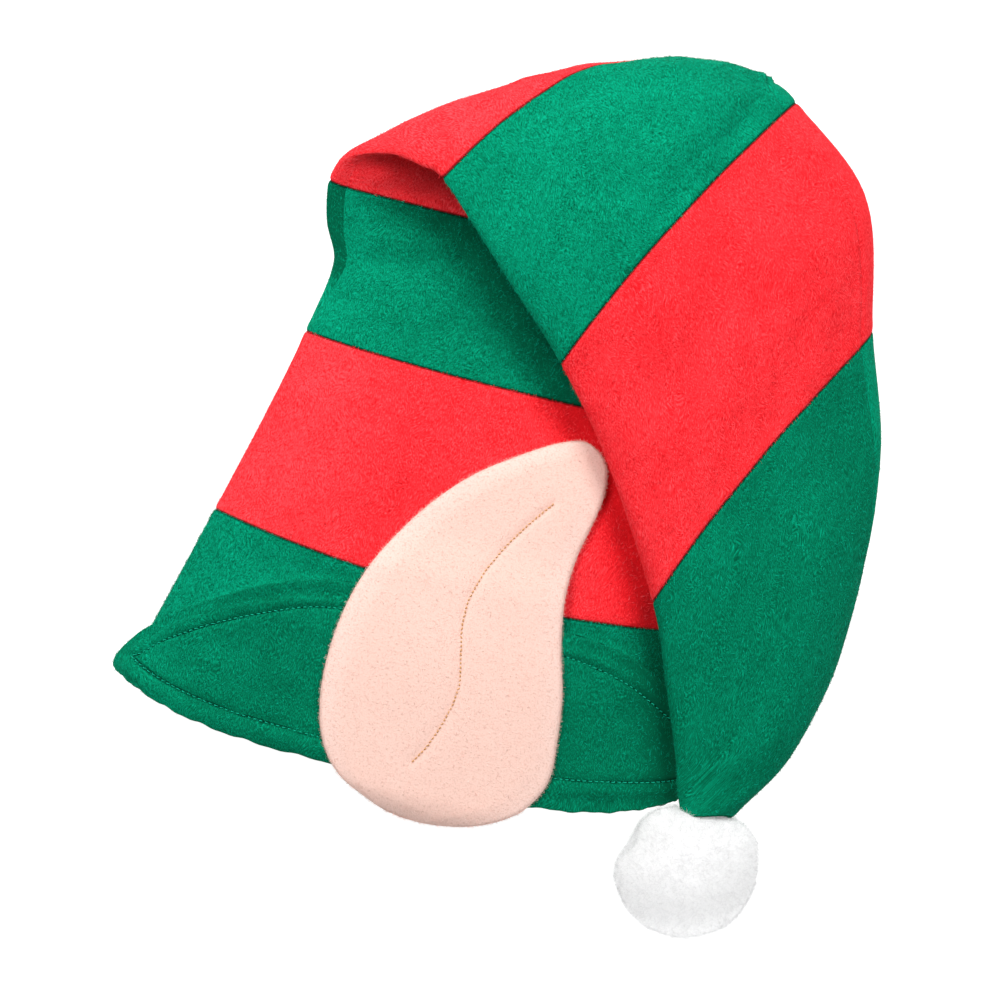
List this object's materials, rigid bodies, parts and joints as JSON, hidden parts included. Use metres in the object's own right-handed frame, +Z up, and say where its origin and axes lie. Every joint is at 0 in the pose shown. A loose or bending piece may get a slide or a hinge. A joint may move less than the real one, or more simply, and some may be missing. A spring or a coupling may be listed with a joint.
{
  "type": "elf hat",
  "caption": "Striped felt elf hat lying on its side, the long crown folded over on itself, with a turned-up cuff, ears and a pompom at the tip.",
  "frame": {"origin": "bottom centre of the bounding box of the hat as it lies", "axes": "+X along the hem from the front peak to the back, +Y from the hem to the fold of the crown, +Z up from the surface"},
  "size_m": [0.3544, 0.4286, 0.0702],
  "materials": {
    "green_felt": "brushed felt, soft and matt",
    "red_felt": "brushed felt, soft and matt",
    "ear_felt": "thick flannel, soft and matt",
    "white_wool": "fluffy wool"
  },
  "bodies": {
    "root": {"near_stripe_1": "green_felt", "near_stripe_2": "red_felt", "near_stripe_3": "green_felt", "near_stripe_4": "red_felt", "near_stripe_5": "green_felt", "near_stripe_6": "red_felt", "near_stripe_7": "green_felt", "cuff_near": "green_felt", "far_stripe_1": "green_felt", "far_stripe_2": "red_felt", "far_stripe_3": "green_felt", "far_stripe_4": "red_felt", "far_stripe_5": "green_felt", "far_stripe_6": "red_felt", "far_stripe_7": "green_felt", "cuff_far": "green_felt", "ear_near": "ear_felt", "ear_far": "ear_felt", "pompom": "white_wool"}
  },
  "joints": []
}
